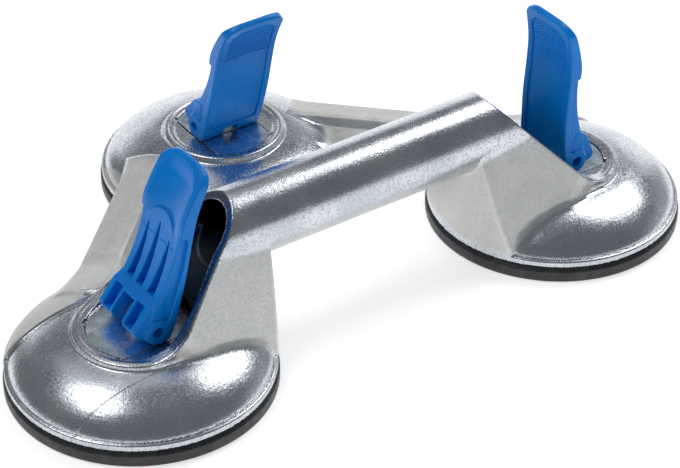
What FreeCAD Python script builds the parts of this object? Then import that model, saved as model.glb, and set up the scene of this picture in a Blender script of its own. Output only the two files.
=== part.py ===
import FreeCAD, Part
import math
import os

# Three-cup vacuum lifter for raised-floor tiles, glass and sheet.
# Frame: origin at the middle of the footprint on the surface the pads stand on,
# +Z up, +X along the handle, +Y from the handle towards the rear head.
# A head's own frame: u outboard (away from the handle or the middle), v across, z up.

# ------------------------------------------------------------------ driving dimensions (mm)
V = FreeCAD.Vector

HEAD_X = 113.4            # half the distance between the two handle heads
HEAD_Y = 55.5             # handle heads at -HEAD_Y, rear head at +HEAD_Y
HEADS = {                 # name: (x, y, turn of the head's outboard direction)
    "a": (-HEAD_X, -HEAD_Y, 180.0),
    "b": (0.0, HEAD_Y, 90.0),
    "c": (HEAD_X, -HEAD_Y, 0.0),
}

PAD_R = 60.0              # rubber pad, diameter 120
PAD_EDGE_H = 5.7          # straight side of the pad
PAD_H = 7.7               # top of the pad, where the casting and the backing plate sit
PAD_TOP_R = 57.6
PAD_DISH_R = 47.0         # shallow hollow under the pad
PAD_DISH = 0.8

RIM_R = 59.3              # flange of the casting
RIM_TOP = 10.7
DOME_R0, DOME_R1 = 30.0, 57.5
DOME_Z1 = 26.0
DOME_EXP = 1.25
WALL = 3.5

RING_RO, RING_RI = 29.4, 23.4     # raised collar round the lever
RING_TOP = 28.9
FLOOR_Z = 26.4            # floor under the wear plate
SEAT_Z = 27.6             # floor beside the wear plate, so that the plate lies in a recess
PLATE_T = 1.4             # wear plate
PLATE_HALF = 15.4
PLATE_R = 23.0
PLATE_TOP = FLOOR_Z + PLATE_T

TUBE_Z = 61.9
TUBE_R = 16.9
BORE_R = 13.4
OPEN_C, OPEN_K = 29.6, 1.09       # slanted opening of a leg: z = OPEN_C - OPEN_K*u
BACK_C, BACK_K = 11.8, 1.12       # slanted back wall of the pocket inside a leg
LEG_R = 59.3              # inboard wall of a leg follows the pad's edge
LEG_V0, LEG_B, LEG_CZ = 17.0, 0.115, 0.332    # half width = V0 + B*(u+57) + CZ*(55-z)
LEG_WALL = 3.9

ARM_OUT = 39.8            # outer edge of an arm, off the line of head centres
ARM_RIDGE = 22.0          # inner edge of the raised outer half
ARM_IN = 3.0              # inner edge of the low shelf
ARM_Z_OUT, ARM_Z_RIDGE, ARM_Z_SHELF, ARM_Z_BOT = 22.0, 25.7, 20.4, 9.0

BACKING_R = 33.0          # steel plate bonded to the pad
BACKING_T = 2.0
STUD_R = 5.0
STUD_TANG = 7.2           # the stud's flat head, across
STUD_TANG_Z = 20.5
STUD_BORE = 5.1
PIN_R = 2.5
PIN_HALF = 13.0
PIN_FIT = 0.06            # radial play of the lever on its pin
PIN_H = 6.4               # pin above the wear plate with the lever on its inboard stop
PIN_Z = PLATE_TOP + PIN_H

LEAN_STOP = 22.0          # the lever's inboard lean at its stop, degrees
LIFT_PER_DEG = 0.052      # rise of the stud for each degree the lever is thrown
LEAN = {"a": 20.0, "b": 22.0, "c": 4.0}       # how each lever stands

SPRING_R = 12.4
SPRING_WIRE = 0.9
SPRING_TURNS = 3.5

LEVER_W = 33.0
LEVER_TOP_W = 32.0
HEEL_W = 29.5
FORK_W = 8.0
BOSS_R = 5.8


# ------------------------------------------------------------------ helpers
def poly_face(points):
    return Part.Face(Part.makePolygon([V(*p) for p in points] + [V(*points[0])]))


def prism(points, along):
    return poly_face(points).extrude(V(*along))


def spline_edge(points):
    c = Part.BSplineCurve()
    c.interpolate([V(*p) for p in points])
    return c.toShape()


def revolve(edges):
    return Part.Face(Part.Wire(edges)).revolve(V(0, 0, 0), V(0, 0, 1), 360)


def line(a, b):
    return Part.LineSegment(V(*a), V(*b)).toShape()


def cyl(r, z0, z1, x=0.0, y=0.0):
    return Part.makeCylinder(r, z1 - z0, V(x, y, z0))


def xcyl(r, x0, x1, z=0.0, y=0.0):
    return Part.makeCylinder(r, x1 - x0, V(x0, y, z), V(1, 0, 0))


def ycyl(r, y0, y1, x=0.0, z=0.0):
    return Part.makeCylinder(r, y1 - y0, V(x, y0, z), V(0, 1, 0))


def box(x0, x1, y0, y1, z0, z1):
    return Part.makeBox(x1 - x0, y1 - y0, z1 - z0, V(x0, y0, z0))


def place(shape, head):
    x, y, turn = HEADS[head]
    s = shape.copy()
    s.rotate(V(0, 0, 0), V(0, 0, 1), turn)
    s.translate(V(x, y, 0))
    return s


def one_solid(shape, name):
    shape = shape.removeSplitter()
    solids = sorted(shape.Solids, key=lambda s: -s.Volume)
    if len(solids) != 1:
        print(name, "solids", [round(s.Volume, 1) for s in solids])
    return solids[0]


# ------------------------------------------------------------------ casting
def dome_profile(off, steps=14):
    """Points of the dome's section in (r, z), offset inwards by off."""
    pts = []
    for i in range(steps + 1):
        t = math.pi / 2 * i / steps
        s, c = math.sin(t), math.cos(t)
        r = DOME_R0 + (DOME_R1 - DOME_R0) * s ** DOME_EXP
        z = RIM_TOP + (DOME_Z1 - RIM_TOP) * c ** DOME_EXP
        pts.append((r, z))
    if off == 0:
        return pts
    out = []
    for i, (r, z) in enumerate(pts):
        a = pts[max(i - 1, 0)]
        b = pts[min(i + 1, steps)]
        dx, dz = b[0] - a[0], b[1] - a[1]
        n = math.hypot(dx, dz)
        out.append((r + off * dz / n, z - off * dx / n))
    return out


def dome_outer():
    p = dome_profile(0)
    pts = [(r, 0, z) for r, z in p]
    return revolve([
        line((0, 0, PAD_H), (RIM_R, 0, PAD_H)),
        line((RIM_R, 0, PAD_H), (RIM_R, 0, RIM_TOP)),
        line((RIM_R, 0, RIM_TOP), (DOME_R1, 0, RIM_TOP)),
        spline_edge(pts[::-1]),
        line((DOME_R0, 0, DOME_Z1), (0, 0, DOME_Z1)),
        line((0, 0, DOME_Z1), (0, 0, PAD_H)),
    ])


CAVITY_TOP = FLOOR_Z - 3.9
CAVITY_R = DOME_R1 - WALL - 0.3


def dome_cavity():
    p = [(r, z) for r, z in dome_profile(WALL) if r >= DOME_R0 - 1]
    pts = [(r, 0, min(z, CAVITY_TOP)) for r, z in p]
    pts[0] = (pts[0][0], 0, CAVITY_TOP)
    r1 = pts[-1][0]
    low = PAD_H - 1
    solid = revolve([
        line((0, 0, low), (r1, 0, low)),
        line((r1, 0, low), (r1, 0, pts[-1][2])),
        spline_edge(pts[::-1]),
        line((pts[0][0], 0, CAVITY_TOP), (0, 0, CAVITY_TOP)),
        line((0, 0, CAVITY_TOP), (0, 0, low)),
    ])
    boss = cyl(9.0, 17.2, CAVITY_TOP + 1)
    return solid.cut(boss)


def ring():
    """Raised collar, its crest rounded, on a head's own frame."""
    prof = [
        (RING_RI, DOME_Z1 - 2), (RING_RI, RING_TOP - 0.6), (RING_RI + 0.6, RING_TOP),
        (RING_RO - 2.4, RING_TOP), (RING_RO - 0.9, RING_TOP - 0.9), (RING_RO, DOME_Z1 + 0.2), (RING_RO, DOME_Z1 - 2),
    ]
    f = poly_face([(r, 0, z) for r, z in prof])
    return f.revolve(V(0, 0, 0), V(0, 0, 1), 360)


def leg_half(u, z, off=0.0):
    return LEG_V0 + LEG_B * (u + 57.0) + LEG_CZ * (55.0 - z) - off


def leg_block(off, u0, u1, z0, z1):
    """Solid between the two sloping side walls of a leg."""
    def corner(u, z, s):
        return V(u, s * leg_half(u, z, off), z)
    c = {}
    for u in (u0, u1):
        for z in (z0, z1):
            for s in (-1, 1):
                c[(u, z, s)] = corner(u, z, s)
    quads = [
        [(u0, z0, -1), (u0, z1, -1), (u1, z1, -1), (u1, z0, -1)],
        [(u0, z0, 1), (u1, z0, 1), (u1, z1, 1), (u0, z1, 1)],
        [(u0, z0, -1), (u0, z0, 1), (u0, z1, 1), (u0, z1, -1)],
        [(u1, z0, -1), (u1, z1, -1), (u1, z1, 1), (u1, z0, 1)],
        [(u0, z0, -1), (u1, z0, -1), (u1, z0, 1), (u0, z0, 1)],
        [(u0, z1, -1), (u0, z1, 1), (u1, z1, 1), (u1, z1, -1)],
    ]
    faces = [Part.Face(Part.makePolygon([c[k] for k in q] + [c[q[0]]])) for q in quads]
    return Part.Solid(Part.Shell(faces))


def opening_cutter():
    """Everything above the slanted mouth of a leg and above the collar."""
    pts = [
        (-70, 0, OPEN_C + OPEN_K * 70), (-9.0, 0, OPEN_C + OPEN_K * 9.0),
        (-5.5, 0, OPEN_C + OPEN_K * 5.5 - 0.2), (-3.0, 0, 31.8), (0.5, 0, 30.0), (4.5, 0, RING_TOP),
        (75, 0, RING_TOP), (75, 0, 140), (-70, 0, 140),
    ]
    s = prism(pts, (0, 120, 0))
    s.translate(V(0, -60, 0))
    return s


def leg_outer():
    block = leg_block(0.0, -62.0, 6.0, RIM_TOP - 0.5, TUBE_Z)
    block = block.common(cyl(LEG_R, 0, 100))
    for s in (-1, 1):        # above the dome the side walls run into the collar
        end = [(-12.0, s * 35.5, DOME_Z1 - 0.3), (-1.5, s * 29.3, DOME_Z1 - 0.3), (2.5, s * 26.0, DOME_Z1 - 0.3), (12.0, s * 26.0, DOME_Z1 - 0.3),
               (12.0, s * 60.0, DOME_Z1 - 0.3), (-12.0, s * 60.0, DOME_Z1 - 0.3)]
        block = block.cut(prism(end, (0, 0, 60)))
    tube = xcyl(TUBE_R, -62.0, 8.0, TUBE_Z)
    return block.fuse(tube)


def leg_pocket():
    """The hollow behind a leg's slanted mouth."""
    block = leg_block(LEG_WALL, -62.0, 12.0, SEAT_Z, TUBE_Z)
    top = xcyl(BORE_R, -62.0, 8.0, TUBE_Z)
    tool = block.fuse(top)
    # in front of the slanted back wall, inside the collar
    keep = prism([(-70, 0, BACK_C + BACK_K * 70), (-(SEAT_Z - BACK_C) / BACK_K, 0, SEAT_Z),
                  (2.0, 0, SEAT_Z), (2.0, 0, 140), (-70, 0, 140)], (0, 120, 0))
    keep.translate(V(0, -60, 0))
    return tool.common(keep)


def leg_underside():
    """The hollow inside a leg that opens down into the head."""
    block = leg_block(LEG_WALL, -62.0, 0.0, PAD_H, TUBE_Z - TUBE_R - 0.2)
    block = block.common(cyl(LEG_R - LEG_WALL, 0, 100))
    keep = prism([(-70, 0, BACK_C - 6.0 + BACK_K * 70), (-(CAVITY_TOP - BACK_C + 6.0) / BACK_K, 0, CAVITY_TOP),
                  (0.0, 0, CAVITY_TOP), (0.0, 0, PAD_H - 1), (-70, 0, PAD_H - 1)], (0, 120, 0))
    keep.translate(V(0, -60, 0))
    return block.common(keep)


def arm_frame(head):
    """Start, direction and outboard normal of the arm from the rear head to a handle head."""
    bx, by, _ = HEADS["b"]
    hx, hy, _ = HEADS[head]
    length = math.hypot(hx - bx, hy - by)
    e = ((hx - bx) / length, (hy - by) / length)
    n = (-e[1], e[0]) if hx > 0 else (e[1], -e[0])
    return (bx, by), e, n, length


def arm_prism(head, section, a0, a1):
    (bx, by), e, n, length = arm_frame(head)
    pts = [(bx + e[0] * a0 + n[0] * d, by + e[1] * a0 + n[1] * d, z) for d, z in section]
    return prism(pts, (e[0] * (a1 - a0), e[1] * (a1 - a0), 0))


def arm_outer(head):
    length = arm_frame(head)[3]
    section = [
        (ARM_OUT - 0.6, ARM_Z_BOT), (ARM_OUT, ARM_Z_OUT - 1.6), (ARM_OUT - 0.5, ARM_Z_OUT - 0.4), (ARM_OUT - 1.8, ARM_Z_OUT + 0.3),
        (ARM_RIDGE + 1.0, ARM_Z_RIDGE), (ARM_RIDGE, ARM_Z_RIDGE - 0.4), (ARM_RIDGE - 1.6, ARM_Z_SHELF),
        (ARM_IN + 1.0, ARM_Z_SHELF), (ARM_IN, ARM_Z_SHELF - 1.0), (ARM_IN, ARM_Z_BOT),
    ]
    arm = arm_prism(head, section, 26.0, length - 26.0)
    # flare of the arm round the handle head's outboard side
    hx, hy, _ = HEADS[head]
    m = 1 if hx > 0 else -1
    flare = [(-6.5, 60.0), (1.0, 58.6), (8.0, 56.5), (17.7, 51.8), (29.3, 44.4), (38.3, 37.4), (45.5, 31.0), (51.0, 22.5),
             (46.0, 12.0), (20.0, 18.0), (-30.0, 30.0), (-34.0, 50.0), (-22.0, 62.0)]
    pts = [(hx + m * x, hy + y, ARM_Z_BOT) for x, y in flare]
    body = prism(pts, (0, 0, 30.0 - ARM_Z_BOT))
    crown = revolve([
        line((0, 0, ARM_Z_BOT - 1), (64.0, 0, ARM_Z_BOT - 1)), line((64.0, 0, ARM_Z_BOT - 1), (64.0, 0, 19.6)),
        line((64.0, 0, 19.6), (54.0, 0, 21.6)), line((54.0, 0, 21.6), (DOME_R0, 0, DOME_Z1)), line((DOME_R0, 0, DOME_Z1), (0, 0, DOME_Z1)),
        line((0, 0, DOME_Z1), (0, 0, ARM_Z_BOT - 1)),
    ])
    crown.translate(V(hx, hy, 0))
    return arm.fuse(body.common(crown))


def arm_hollow(head):
    length = arm_frame(head)[3]
    t = 3.4
    section = [
        (ARM_OUT - t, ARM_Z_BOT - 1), (ARM_OUT - t, ARM_Z_OUT - t + 0.4), (ARM_RIDGE + 1.0, ARM_Z_RIDGE - t),
        (ARM_RIDGE - 1.6, ARM_Z_SHELF - t), (ARM_IN + t, ARM_Z_SHELF - t), (ARM_IN + t, ARM_Z_BOT - 1),
    ]
    return arm_prism(head, section, 58.0, length - 58.0)


def casting():
    dome = dome_outer()
    body = None
    for h in HEADS:
        d = place(dome.fuse(ring()), h)
        body = d if body is None else body.fuse(d)
    for h in ("a", "c"):
        leg = leg_outer().cut(opening_cutter())
        body = body.fuse(place(leg, h))
        body = body.fuse(arm_outer(h))
    tube = xcyl(TUBE_R, -HEAD_X + 55.0, HEAD_X - 55.0, TUBE_Z, -HEAD_Y)
    body = body.fuse(tube)

    tools = []
    for h in HEADS:
        tools.append(place(dome_cavity(), h))
        x, y, _ = HEADS[h]
        tools.append(cyl(STUD_BORE, 10.0, 40.0, x, y))
        tools.append(cyl(RING_RI, SEAT_Z, 32.0, x, y))
        tools.append(place(cyl(RING_RI - 0.1, FLOOR_Z, SEAT_Z + 1).common(box(-60, 60, -PLATE_HALF - 0.2, PLATE_HALF + 0.2, 0, 60)), h))
        # the mouth above the collar is clear
        if h != "b":
            tools.append(place(leg_pocket(), h))
            tools.append(place(leg_underside(), h))
            tools.append(arm_hollow(h))
    tools.append(xcyl(BORE_R, -HEAD_X + 30.0, HEAD_X - 30.0, TUBE_Z, -HEAD_Y))
    for t in tools:
        body = body.cut(t)
    return one_solid(body, "body_casting")


# ------------------------------------------------------------------ pieces of a head, at lift 0
def rubber_pad(lift):
    """Disc with a shallow hollow below; its middle stands as high as the plate it is bonded to."""
    r = BACKING_R + 0.5
    edges = [
        (0, 0, PAD_DISH + lift), (r, 0, PAD_DISH + lift), (PAD_DISH_R, 0, PAD_DISH), (PAD_DISH_R + 2.0, 0, 0),
        (PAD_R - 0.8, 0, 0), (PAD_R, 0, 0.8), (PAD_R, 0, PAD_EDGE_H), (PAD_TOP_R, 0, PAD_H),
        (PAD_DISH_R + 1.0, 0, PAD_H), (r, 0, PAD_H + lift), (0, 0, PAD_H + lift),
    ]
    edges = [p for i, p in enumerate(edges) if p != edges[i - 1]]
    return poly_face(edges).revolve(V(0, 0, 0), V(0, 0, 1), 360)


def backing_plate():
    s = cyl(BACKING_R, PAD_H, PAD_H + BACKING_T).cut(cyl(3.5, PAD_H - 1, PAD_H + BACKING_T + 1))
    top = [e for e in s.Edges if abs(e.BoundBox.ZMin - (PAD_H + BACKING_T)) < 1e-6 and e.BoundBox.XLength > 2 * BACKING_R - 1]
    return s.makeFillet(0.8, top)


def centre_stud():
    z0 = PAD_H + BACKING_T
    s = cyl(3.47, PAD_H + 0.3, z0 + 0.5)
    s = s.fuse(cyl(8.0, z0, z0 + 1.6)).fuse(cyl(STUD_R, z0, STUD_TANG_Z))
    tang = box(-STUD_R, STUD_R, -STUD_TANG / 2, STUD_TANG / 2, STUD_TANG_Z - 0.5, PIN_Z)
    tang = tang.common(cyl(STUD_R, 0, 60))
    head = ycyl(4.6, -STUD_TANG / 2, STUD_TANG / 2, 0, PIN_Z)
    s = s.fuse(tang).fuse(head)
    s = s.cut(ycyl(PIN_R, -10, 10, 0, PIN_Z))
    return one_solid(s, "centre_stud")


def pivot_pin():
    s = ycyl(PIN_R, -PIN_HALF, PIN_HALF, 0, PIN_Z)
    return s.makeChamfer(0.4, [e for e in s.Edges if e.Curve.TypeId == "Part::GeomCircle"])


def release_spring(lift):
    """Open coil of round wire, its section an octagon, as one closed faceted solid."""
    z0 = PAD_H + BACKING_T + lift + SPRING_WIRE + 0.1
    z1 = CAVITY_TOP - SPRING_WIRE - 0.1
    sides, n = 8, int(SPRING_TURNS * 20)
    rings = []
    for i in range(n + 1):
        w = 2 * math.pi * SPRING_TURNS * i / n
        z = z0 + (z1 - z0) * i / n
        rings.append([V((SPRING_R + SPRING_WIRE * math.cos(2 * math.pi * k / sides)) * math.cos(w),
                        (SPRING_R + SPRING_WIRE * math.cos(2 * math.pi * k / sides)) * math.sin(w),
                        z + SPRING_WIRE * math.sin(2 * math.pi * k / sides)) for k in range(sides)])
    tris = []
    for p, q in zip(rings, rings[1:]):
        for k in range(sides):
            m = (k + 1) % sides
            tris += [(p[k], q[k], q[m]), (p[k], q[m], p[m])]
    for ring_pts in (rings[0], rings[-1]):
        tris += [(ring_pts[0], ring_pts[k], ring_pts[k + 1]) for k in range(1, sides - 1)]
    shell = Part.Shell([Part.Face(Part.makePolygon([t[0], t[1], t[2], t[0]])) for t in tris])
    shell.sewShape()
    solid = Part.Solid(Part.Shell(shell.Faces) if shell.ShapeType != "Shell" else shell)
    return solid if solid.Volume > 0 else solid.reversed()


def wear_plate():
    s = cyl(PLATE_R, FLOOR_Z, PLATE_TOP).common(box(-60, 60, -PLATE_HALF, PLATE_HALF, 0, 60))
    return s.cut(cyl(5.6, FLOOR_Z - 1, PLATE_TOP + 1))


# ------------------------------------------------------------------ lever, pin axis at the origin, t outboard, v across, s up
FRONT = [(-7.2, -3.4), (-7.6, 3), (-7.3, 12), (-6.5, 25), (-5.1, 36), (-3.6, 48), (-3.1, 57), (-3.7, 66), (-5.0, 74.3)]
BACK = [(-1.9, 75.4), (0.2, 70.5), (1.9, 63.5), (3.1, 56), (3.4, 50), (2.2, 42), (1.8, 34), (2.2, 25), (3.4, 17), (4.8, 12.0)]


def lever():
    w = LEVER_W
    # blade: front and back curves joined over the rounded tip
    tip = (-4.4, 76.3)
    front = spline_edge([(t, 0, s) for t, s in FRONT])
    back = spline_edge([(t, 0, s) for t, s in BACK])
    edges = [
        front,
        Part.Arc(V(FRONT[-1][0], 0, FRONT[-1][1]), V(tip[0] + 0.5, 0, tip[1]), V(BACK[0][0], 0, BACK[0][1])).toShape(),
        back,
        line((BACK[-1][0], 0, BACK[-1][1]), (4.0, 0, 0.0)),
        line((4.0, 0, 0.0), (1.0, 0, -5.5)),
        line((1.0, 0, -5.5), (-4.8, 0, -4.5)),
        line((-4.8, 0, -4.5), (FRONT[0][0], 0, FRONT[0][1])),
    ]
    blade = Part.Face(Part.Wire(edges)).extrude(V(0, w, 0))
    blade.translate(V(0, -w / 2, 0))
    # outline seen from the front, with rounded shoulders
    r = 11.0
    hw, ht = w / 2, LEVER_TOP_W / 2
    top = 77.2
    outline = Part.Wire([
        line((0, -hw, -8), (0, -ht, top - r)),
        Part.Arc(V(0, -ht, top - r), V(0, -ht + r * 0.30, top - r * 0.32), V(0, -ht + r, top - 0.8)).toShape(),
        Part.Arc(V(0, -ht + r, top - 0.8), V(0, 0, top), V(0, ht - r, top - 0.8)).toShape(),
        Part.Arc(V(0, ht - r, top - 0.8), V(0, ht - r * 0.30, top - r * 0.32), V(0, ht, top - r)).toShape(),
        line((0, ht, top - r), (0, hw, -8)),
        line((0, hw, -8), (0, -hw, -8)),
    ])
    plan = Part.Face(outline).extrude(V(60, 0, 0))
    plan.translate(V(-30, 0, 0))
    blade = blade.common(plan)
    # blade narrower than the frame below: heel block with its cam
    heel_pts = [
        (2.0, 0, 14.0), (6.2, 0, 12.3), (7.2, 0, 11.3), (11.15, 0, -0.3),
    ]
    corner_c = (9.2, -0.9)
    cam = [(-0.5, 0, -5.6)]
    heel_edges = [
        line(heel_pts[0], heel_pts[1]), line(heel_pts[1], heel_pts[2]), line(heel_pts[2], heel_pts[3]),
        Part.Arc(V(*heel_pts[3]), V(corner_c[0] + 2 * math.cos(math.radians(-30)), 0, corner_c[1] + 2 * math.sin(math.radians(-30))),
                 V(corner_c[0] + 2 * math.cos(math.radians(-75)), 0, corner_c[1] + 2 * math.sin(math.radians(-75)))).toShape(),
        line((corner_c[0] + 2 * math.cos(math.radians(-75)), 0, corner_c[1] + 2 * math.sin(math.radians(-75))), (3.4, 0, -5.0)),
        line((3.4, 0, -5.0), cam[0]),
        line(cam[0], (-4.0, 0, 0)), line((-4.0, 0, 0), heel_pts[0]),
    ]
    heel = Part.Face(Part.Wire(heel_edges)).extrude(V(0, HEEL_W, 0))
    heel.translate(V(0, -HEEL_W / 2, 0))
    boss = ycyl(BOSS_R, -w / 2, w / 2)
    s = blade.fuse(heel).fuse(boss)
    # waist below the blade: the sides behind the frame step in
    for sgn in (-1, 1):
        y0, y1 = (w / 2 - 1.9, w) if sgn > 0 else (-w, -w / 2 + 1.9)
        step = prism([(-3.2, y0, 4.5), (-3.2, y0, 30.0), (-2.4, y0, 44.0), (12, y0, 44.0), (12, y0, -12.0), (6.5, y0, -12.0), (6.5, y0, 4.5)],
                     (0, y1 - y0, 0))
        s = s.cut(step)
    # fork slot for the stud
    s = s.cut(box(-5.5, 14, -FORK_W / 2, FORK_W / 2, -9, 6.2))
    s = s.cut(box(-12, -5.4, -FORK_W / 2, FORK_W / 2, -9, 0.8))
    s = s.cut(box(3.8, 14, -FORK_W / 2, FORK_W / 2, -9, 9.6))
    # two windows in the heel
    for sgn in (-1, 1):
        y0 = 5.9 if sgn > 0 else -11.6
        win = prism([(4.6, y0, 9.4), (12.5, y0, 11.0), (12.5, y0, -0.2), (6.4, y0, 0.6)], (0, 5.7, 0))
        s = s.cut(win)
    # three tapering channels in the back of the blade
    for y0, y1, z1 in ((-11.2, -6.6, 41.0), (-3.6, 1.2, 44.5), (5.6, 10.4, 40.0)):
        ym = (y0 + y1) / 2
        ch = poly_face([(-3.9, y0, 14.5), (-3.9, y1, 14.5), (-3.9, ym + 0.6, z1), (-3.9, ym - 0.6, z1)]).extrude(V(12, 0, 0))
        s = s.cut(ch)
    # spoon at the top of the back
    spoon = Part.makeSphere(46.0, V(46.4, 0, 60.0)).common(box(-10, 60, -12.6, 12.6, 47.0, 90))
    s = s.cut(spoon)
    # shallow panel in the front face, inside a raised border
    def front_at(z):
        for (t0, s0), (t1, s1) in zip(FRONT, FRONT[1:]):
            if s0 <= z <= s1:
                return t0 + (t1 - t0) * (z - s0) / (s1 - s0)
        return FRONT[-1][0]
    zs = [3.0 + i * (69.5 - 3.0) / 9 for i in range(10)]
    inner = [(front_at(z) + 0.7, 0, z) for z in zs]
    panel = Part.Face(Part.Wire([
        spline_edge(inner), line(inner[-1], (-20, 0, zs[-1])), line((-20, 0, zs[-1]), (-20, 0, zs[0])), line((-20, 0, zs[0]), inner[0]),
    ])).extrude(V(0, 24.4, 0))
    panel.translate(V(0, -12.2, 0))
    s = s.cut(panel)
    # hole for the pin, open at both sides
    s = s.cut(ycyl(PIN_R + PIN_FIT, -40, 40))
    return one_solid(s, "lever")


def main():
    os.makedirs("parts", exist_ok=True)
    out = {"body_casting": casting()}
    pieces = {
        "backing_plate": backing_plate(),
        "centre_stud": centre_stud(),
        "pivot_pin": pivot_pin(),
        "wear_plate": wear_plate(),
    }
    lev = lever()
    for h in HEADS:
        lift = (LEAN_STOP - LEAN[h]) * LIFT_PER_DEG
        pieces["rubber_pad"] = rubber_pad(lift)
        pieces["release_spring"] = release_spring(lift)
        for name, shape in pieces.items():
            s = shape.copy()
            if name in ("backing_plate", "centre_stud", "pivot_pin"):
                s.translate(V(0, 0, lift))
            out[name + "_" + h] = place(s, h)
        s = lev.copy()
        s.rotate(V(0, 0, 0), V(0, 1, 0), -LEAN[h])
        s.translate(V(0, 0, PIN_Z + lift))
        out["lever_" + h] = place(s, h)
    for name, shape in out.items():
        if not shape.isValid():
            print("not valid:", name)
        bb = shape.BoundBox
        print("%-18s vol %10.1f  x %7.1f..%7.1f  y %7.1f..%7.1f  z %6.1f..%6.1f" % (
            name, shape.Volume, bb.XMin, bb.XMax, bb.YMin, bb.YMax, bb.ZMin, bb.ZMax))
        shape.exportStep("parts/" + name + ".step")


main()
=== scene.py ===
import bpy
import math
import numpy as np
from mathutils import Matrix, Vector


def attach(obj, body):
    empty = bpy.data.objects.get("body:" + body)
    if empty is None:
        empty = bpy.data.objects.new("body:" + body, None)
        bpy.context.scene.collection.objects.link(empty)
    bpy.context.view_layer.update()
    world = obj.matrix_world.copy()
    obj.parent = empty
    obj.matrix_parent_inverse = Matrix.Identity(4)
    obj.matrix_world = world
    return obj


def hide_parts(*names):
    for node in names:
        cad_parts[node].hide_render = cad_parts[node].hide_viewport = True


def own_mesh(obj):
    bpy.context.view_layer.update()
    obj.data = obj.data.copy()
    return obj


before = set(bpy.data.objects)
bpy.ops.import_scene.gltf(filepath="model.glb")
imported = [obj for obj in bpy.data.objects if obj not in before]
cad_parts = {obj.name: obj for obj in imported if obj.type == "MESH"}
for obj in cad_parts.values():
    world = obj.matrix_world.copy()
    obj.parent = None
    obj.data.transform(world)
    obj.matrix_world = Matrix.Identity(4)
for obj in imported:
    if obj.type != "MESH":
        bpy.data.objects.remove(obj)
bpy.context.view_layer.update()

HEAD_X, HEAD_Y = 113.4, 55.5
HEADS = {"a": (-HEAD_X, -HEAD_Y, 180.0), "b": (0.0, HEAD_Y, 90.0), "c": (HEAD_X, -HEAD_Y, 0.0)}
PAD_H = 7.7
FLOOR_Z = 26.4
TUBE_Z, TUBE_R, BORE_R = 61.9, 16.9, 13.4
PIN_Z = 34.2
LEAN = {"a": 20.0, "b": 22.0, "c": 4.0}
LIFT_PER_DEG = 0.052


# ------------------------------------------------------------------ distance fields
def rmin(a, b, r):
    """Union with a true fillet of radius r."""
    u, v = np.maximum(r - a, 0.0), np.maximum(r - b, 0.0)
    return np.maximum(r, np.minimum(a, b)) - np.hypot(u, v)


def rmax(a, b, r):
    """Intersection with its edge rounded to radius r."""
    u, v = np.maximum(r + a, 0.0), np.maximum(r + b, 0.0)
    return np.minimum(-r, np.maximum(a, b)) + np.hypot(u, v)


def cut(a, tool, r=0.0):
    """a without tool, the new edge rounded to radius r."""
    return rmax(a, -tool, r) if r else np.maximum(a, -tool)


def ramp(x, a, b):
    t = np.clip((x - a) / (b - a), 0.0, 1.0)
    return t * t * (3 - 2 * t)


def rounded(points):
    """A polygon's outline with its corners rounded: points are (x, y) or (x, y, radius)."""
    out, n = [], len(points)
    for i, p in enumerate(points):
        if len(p) < 3 or p[2] <= 0:
            out.append(p[:2])
            continue
        c = np.array(p[:2], float)
        a = np.array(points[i - 1][:2], float) - c
        b = np.array(points[(i + 1) % n][:2], float) - c
        la, lb = np.linalg.norm(a), np.linalg.norm(b)
        a, b = a / la, b / lb
        half = math.acos(max(-1, min(1, float(a @ b)))) / 2
        if abs(half - math.pi / 2) < 1e-3:
            out.append(p[:2])
            continue
        t = min(p[2] / math.tan(half), 0.49 * la, 0.49 * lb)
        r = t * math.tan(half)
        mid = (a + b) / np.linalg.norm(a + b)
        o = c + mid * (r / math.sin(half))
        p0, p1 = c + a * t, c + b * t
        a0 = math.atan2(*(p0 - o)[::-1])
        a1 = math.atan2(*(p1 - o)[::-1])
        d = (a1 - a0 + math.pi) % (2 * math.pi) - math.pi
        k = max(3, int(abs(d) * r / 0.25) + 2)
        for j in range(k + 1):
            w = a0 + d * j / k
            out.append((o[0] + r * math.cos(w), o[1] + r * math.sin(w)))
    return out


class Section:
    """Signed distance to a closed 2-D outline, read from a table."""

    def __init__(self, points, step=0.25, pad=14.0):
        p = np.array(points, float)
        q = np.roll(p, -1, axis=0)
        self.lo = p.min(0) - pad
        n = np.ceil((p.max(0) + pad - self.lo) / step).astype(int) + 1
        self.step, self.n = step, n
        X, Y = np.meshgrid(self.lo[0] + step * np.arange(n[0]), self.lo[1] + step * np.arange(n[1]), indexing="ij")
        best = np.full(X.shape, 1e9)
        inside = np.zeros(X.shape, bool)
        for (ax, ay), (bx, by) in zip(p, q):
            ex, ey = bx - ax, by - ay
            ll = ex * ex + ey * ey
            if ll < 1e-12:
                continue
            t = np.clip(((X - ax) * ex + (Y - ay) * ey) / ll, 0, 1)
            best = np.minimum(best, (X - ax - t * ex) ** 2 + (Y - ay - t * ey) ** 2)
            if ay != by:
                cross = ((ay > Y) != (by > Y)) & (X < (bx - ax) * (Y - ay) / (by - ay) + ax)
                inside ^= cross
        self.f = (np.sqrt(best) * np.where(inside, -1, 1)).astype(np.float32)

    def __call__(self, x, y):
        gx = (x - self.lo[0]) / self.step
        gy = (y - self.lo[1]) / self.step
        cx = np.clip(gx, 0, self.n[0] - 1.001)
        cy = np.clip(gy, 0, self.n[1] - 1.001)
        i, j = cx.astype(int), cy.astype(int)
        a, b = cx - i, cy - j
        f = self.f
        d = (f[i, j] * (1 - a) * (1 - b) + f[i + 1, j] * a * (1 - b) + f[i, j + 1] * (1 - a) * b + f[i + 1, j + 1] * a * b)
        return d + np.hypot(gx - cx, gy - cy) * self.step


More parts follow.
